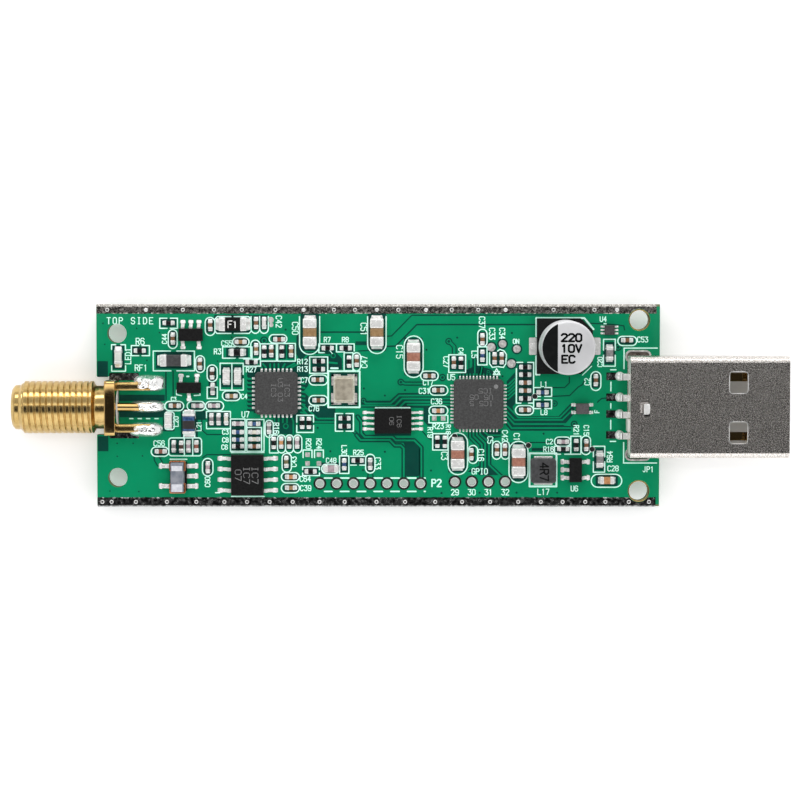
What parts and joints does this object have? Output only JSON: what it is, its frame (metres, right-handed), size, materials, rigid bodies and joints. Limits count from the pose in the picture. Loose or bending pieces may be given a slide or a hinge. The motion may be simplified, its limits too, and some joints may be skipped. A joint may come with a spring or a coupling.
{
  "type": "usb spectrum analyzer board",
  "caption": "Bare USB spectrum analyzer circuit board with a gold antenna jack at one end, a USB plug at the other, tinned long edges and small surface-mounted parts.",
  "frame": {"origin": "centre of the board's outline, on its underside", "axes": "+X towards the USB plug, +Y towards the upper long edge, +Z out of the populated face"},
  "size_m": [0.0916, 0.0242, 0.0104],
  "materials": {
    "black_mould": "matte",
    "blue_coil": "gloss",
    "board": "gloss",
    "can_aluminium": "satin",
    "capacitor_ceramic": "satin",
    "copper_wire": "gloss",
    "ferrite": "satin",
    "gold_plating": "polished",
    "led_resin": "gloss",
    "lid_metal": "satin",
    "plug_steel": "satin",
    "ptfe": "matte",
    "resistor_glaze": "gloss",
    "solder": "satin",
    "tin_plating": "satin",
    "white_ceramic": "satin",
    "white_plastic": "matte"
  },
  "bodies": {
    "root": {"circuit_board": "board", "ground_rail_upper": "tin_plating", "ground_rail_lower": "tin_plating", "header_pads": "tin_plating", "sma_body": "gold_plating", "sma_dielectric": "ptfe", "sma_center_contact": "gold_plating", "sma_ground_solder": "solder", "sma_signal_solder": "solder", "usb_shell": "plug_steel", "usb_insulator": "white_plastic", "usb_contact_1": "gold_plating", "usb_contact_2": "gold_plating", "usb_contact_3": "gold_plating", "usb_contact_4": "gold_plating", "usb_solder_joints": "solder", "demodulator_body": "black_mould", "demodulator_leads": "tin_plating", "tuner_body": "black_mould", "tuner_leads": "tin_plating", "mixer_body": "black_mould", "mixer_leads": "tin_plating", "eeprom_body": "black_mould", "eeprom_leads": "tin_plating", "regulator_body": "black_mould", "clamp_body": "black_mould", "buck_body": "black_mould", "sot_leads": "tin_plating", "switch_body": "black_mould", "switch_leads": "tin_plating", "capacitor_0402_bodies": "capacitor_ceramic", "capacitor_0402_terminals": "tin_plating", "resistor_0402_bodies": "resistor_glaze", "resistor_0402_terminals": "tin_plating", "inductor_0402_bodies": "blue_coil", "inductor_0402_terminals": "tin_plating", "coloured_chip_bodies": "capacitor_ceramic", "chip_0603_terminals": "tin_plating", "white_chip_bodies": "white_ceramic", "capacitor_1206_bodies": "capacitor_ceramic", "capacitor_1206_terminals": "tin_plating", "polyfuse_body": "black_mould", "ferrite_bead_body": "ferrite", "large_chip_terminals": "tin_plating", "status_led_body": "led_resin", "status_led_terminals": "tin_plating", "coil_body": "blue_coil", "oscillator_base": "white_ceramic", "oscillator_lid": "lid_metal", "choke_body": "ferrite", "choke_terminals": "tin_plating", "inductor_core": "ferrite", "inductor_terminals": "tin_plating", "transformer_core": "ferrite", "transformer_base": "black_mould", "transformer_leads": "tin_plating", "transformer_windings": "copper_wire", "electrolytic_base": "black_mould", "electrolytic_can": "can_aluminium", "electrolytic_terminals": "tin_plating"}
  },
  "joints": []
}
